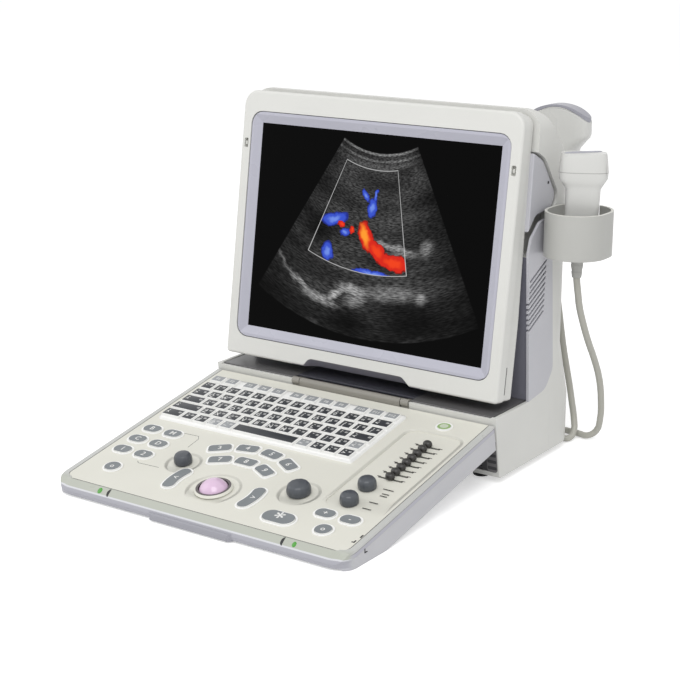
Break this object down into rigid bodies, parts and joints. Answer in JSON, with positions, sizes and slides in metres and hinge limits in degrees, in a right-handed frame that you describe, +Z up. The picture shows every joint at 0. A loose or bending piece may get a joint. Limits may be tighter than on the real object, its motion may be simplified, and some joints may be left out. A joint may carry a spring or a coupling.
{
  "type": "color doppler ultrasound",
  "caption": "Portable diagnostic ultrasound scanner with a folding keyboard console, a tilting screen and two hand probes in cups.",
  "frame": {"origin": "middle of the footprint of the rigid object, on the table top", "axes": "+Z up, +Y to the rear, away from the operator, +X to the operator's right"},
  "size_m": [0.431, 0.5703, 0.381],
  "materials": {
    "housing_white": "fine moulded texture, warm white",
    "panel_lilac": "satin lilac grey",
    "panel_dark": "satin dark lilac grey",
    "cover_dark": "dark grey moulded texture",
    "grille_dark": "near black",
    "steel": "turned and die cast",
    "foot_rubber": "soft rubber",
    "board_green": "solder mask",
    "supply_steel": "folded sheet",
    "fan_black": "moulded black",
    "socket_black": "moulded black",
    "socket_panel": "satin grey paint",
    "cup_grey": "satin mid grey",
    "deck_cream": "satin cream",
    "trim_silver": "greenish silver paint",
    "case_lilac": "satin lilac grey",
    "key_dark": "charcoal caps",
    "key_light": "light grey caps",
    "key_white": "white tray",
    "key_soft": "grey green elastomer feel",
    "key_freeze": "mid grey",
    "key_power": "grey with a green ring",
    "knob_grey": "satin dark grey",
    "slider_black": "satin black",
    "ball_pink": "polished pink lilac resin",
    "ring_grey": "satin grey",
    "screen_black": "glossy display glass",
    "screen_frame": "satin lilac",
    "probe_shell": "satin off-white",
    "lens_lilac": "silicone lens",
    "cord_grey": "smooth grey jacket",
    "relief_grey": "soft moulding",
    "plug_grey": "satin off-white",
    "tie_black": "strap"
  },
  "bodies": {
    "base": {"base_housing": "housing_white", "rear_housing": "housing_white", "side_panels": "panel_lilac", "top_cover": "cover_dark", "front_grille": "grille_dark", "front_panel": "panel_dark", "hinge_brackets": "steel", "feet": "foot_rubber", "main_board": "board_green", "power_supply": "supply_steel", "fan_frame": "fan_black", "io_panel": "socket_panel", "rear_sockets": "socket_black", "carry_handle": "housing_white", "holder_right": "cup_grey", "holder_rear": "cup_grey", "linear_probe": "probe_shell", "linear_lens": "lens_lilac", "convex_probe": "probe_shell", "convex_lens": "lens_lilac", "linear_relief": "relief_grey", "convex_relief": "relief_grey", "linear_cord": "cord_grey", "convex_cord": "cord_grey", "linear_coil": "cord_grey", "convex_coil": "cord_grey", "probe_plugs": "plug_grey", "cord_ties": "tie_black"},
    "fan": {"fan_rotor": "fan_black"},
    "monitor": {"monitor_bezel": "housing_white", "screen_bezel": "screen_frame", "lcd_panel": "screen_black", "monitor_rear_cover": "housing_white", "hinge_cheeks": "panel_lilac"},
    "console": {"console_top": "deck_cream", "console_case": "case_lilac", "console_trim": "trim_silver", "console_barrel": "housing_white", "key_tray": "key_white", "key_board": "board_green", "trackball_ring": "ring_grey"},
    "ball": {"trackball": "ball_pink"},
    "menu_knob": {"knob_menu": "knob_grey"},
    "big_knob": {"knob_large": "knob_grey"},
    "small_knob_a": {"knob_a": "knob_grey"},
    "small_knob_b": {"knob_b": "knob_grey"},
    "slider_1": {"tgc_slider_1": "slider_black"},
    "slider_2": {"tgc_slider_2": "slider_black"},
    "slider_3": {"tgc_slider_3": "slider_black"},
    "slider_4": {"tgc_slider_4": "slider_black"},
    "slider_5": {"tgc_slider_5": "slider_black"},
    "slider_6": {"tgc_slider_6": "slider_black"},
    "slider_7": {"tgc_slider_7": "slider_black"},
    "slider_8": {"tgc_slider_8": "slider_black"},
    "function_keys_body": {"function_keys": "key_light"},
    "letter_keys_body": {"letter_keys": "key_dark"},
    "space_bar_body": {"space_bar": "key_dark"},
    "soft_keys_body": {"soft_keys": "key_soft"},
    "freeze_key_body": {"freeze_key": "key_freeze"},
    "power_key_body": {"power_key": "key_power"}
  },
  "joints": [
    {"name": "console_fold", "type": "hinge", "parent": "base", "child": "console", "pos_m": [-0.0335, 0.01948, 0.072], "axis": [-1, 0, 0], "range_deg": [0, 101]},
    {"name": "monitor_tilt", "type": "hinge", "parent": "base", "child": "monitor", "pos_m": [-0.0335, 0.08753, 0.24302], "axis": [1, 0, 0], "range_deg": [0, 8.4]},
    {"name": "fan_spin", "type": "hinge", "parent": "base", "child": "fan", "pos_m": [0.1355, 0.12349, 0.19], "axis": [1, 0, 0], "continuous": true},
    {"name": "ball_roll", "type": "hinge", "parent": "console", "child": "ball", "pos_m": [-0.0455, -0.19937, 0.01946], "axis": [1, 0, 0], "continuous": true},
    {"name": "menu_knob_turn", "type": "hinge", "parent": "console", "child": "menu_knob", "pos_m": [-0.1085, -0.17247, 0.03566], "axis": [0, -0.1908, 0.9816], "continuous": true},
    {"name": "big_knob_turn", "type": "hinge", "parent": "console", "child": "big_knob", "pos_m": [0.039, -0.17394, 0.03537], "axis": [0, -0.1908, 0.9816], "continuous": true},
    {"name": "small_knob_a_turn", "type": "hinge", "parent": "console", "child": "small_knob_a", "pos_m": [0.095, -0.1386, 0.04224], "axis": [0, -0.1908, 0.9816], "continuous": true},
    {"name": "small_knob_b_turn", "type": "hinge", "parent": "console", "child": "small_knob_b", "pos_m": [0.095, -0.16903, 0.03633], "axis": [0, -0.1908, 0.9816], "continuous": true},
    {"name": "slider_1_slide", "type": "slide", "parent": "console", "child": "slider_1", "axis": [1, 0, 0], "range_m": [-0.01, 0.01]},
    {"name": "slider_2_slide", "type": "slide", "parent": "console", "child": "slider_2", "axis": [1, 0, 0], "range_m": [-0.01, 0.01]},
    {"name": "slider_3_slide", "type": "slide", "parent": "console", "child": "slider_3", "axis": [1, 0, 0], "range_m": [-0.01, 0.01]},
    {"name": "slider_4_slide", "type": "slide", "parent": "console", "child": "slider_4", "axis": [1, 0, 0], "range_m": [-0.01, 0.01]},
    {"name": "slider_5_slide", "type": "slide", "parent": "console", "child": "slider_5", "axis": [1, 0, 0], "range_m": [-0.01, 0.01]},
    {"name": "slider_6_slide", "type": "slide", "parent": "console", "child": "slider_6", "axis": [1, 0, 0], "range_m": [-0.01, 0.01]},
    {"name": "slider_7_slide", "type": "slide", "parent": "console", "child": "slider_7", "axis": [1, 0, 0], "range_m": [-0.01, 0.01]},
    {"name": "slider_8_slide", "type": "slide", "parent": "console", "child": "slider_8", "axis": [1, 0, 0], "range_m": [-0.01, 0.01]},
    {"name": "function_keys_press", "type": "slide", "parent": "console", "child": "function_keys_body", "axis": [0, 0.1908, -0.9816], "range_m": [0, 0.002], "stiffness_N_per_m": 1500, "springref_m": -0.001},
    {"name": "letter_keys_press", "type": "slide", "parent": "console", "child": "letter_keys_body", "axis": [0, 0.1908, -0.9816], "range_m": [0, 0.002], "stiffness_N_per_m": 4000, "springref_m": -0.001},
    {"name": "space_bar_press", "type": "slide", "parent": "console", "child": "space_bar_body", "axis": [0, 0.1908, -0.9816], "range_m": [0, 0.002], "stiffness_N_per_m": 600, "springref_m": -0.001},
    {"name": "soft_keys_press", "type": "slide", "parent": "console", "child": "soft_keys_body", "axis": [0, 0.1908, -0.9816], "range_m": [0, 0.002], "stiffness_N_per_m": 2000, "springref_m": -0.001},
    {"name": "freeze_key_press", "type": "slide", "parent": "console", "child": "freeze_key_body", "axis": [0, 0.1908, -0.9816], "range_m": [0, 0.002], "stiffness_N_per_m": 500, "springref_m": -0.001},
    {"name": "power_key_press", "type": "slide", "parent": "console", "child": "power_key_body", "axis": [0, 0.1908, -0.9816], "range_m": [0, 0.002], "stiffness_N_per_m": 400, "springref_m": -0.001}
  ]
}
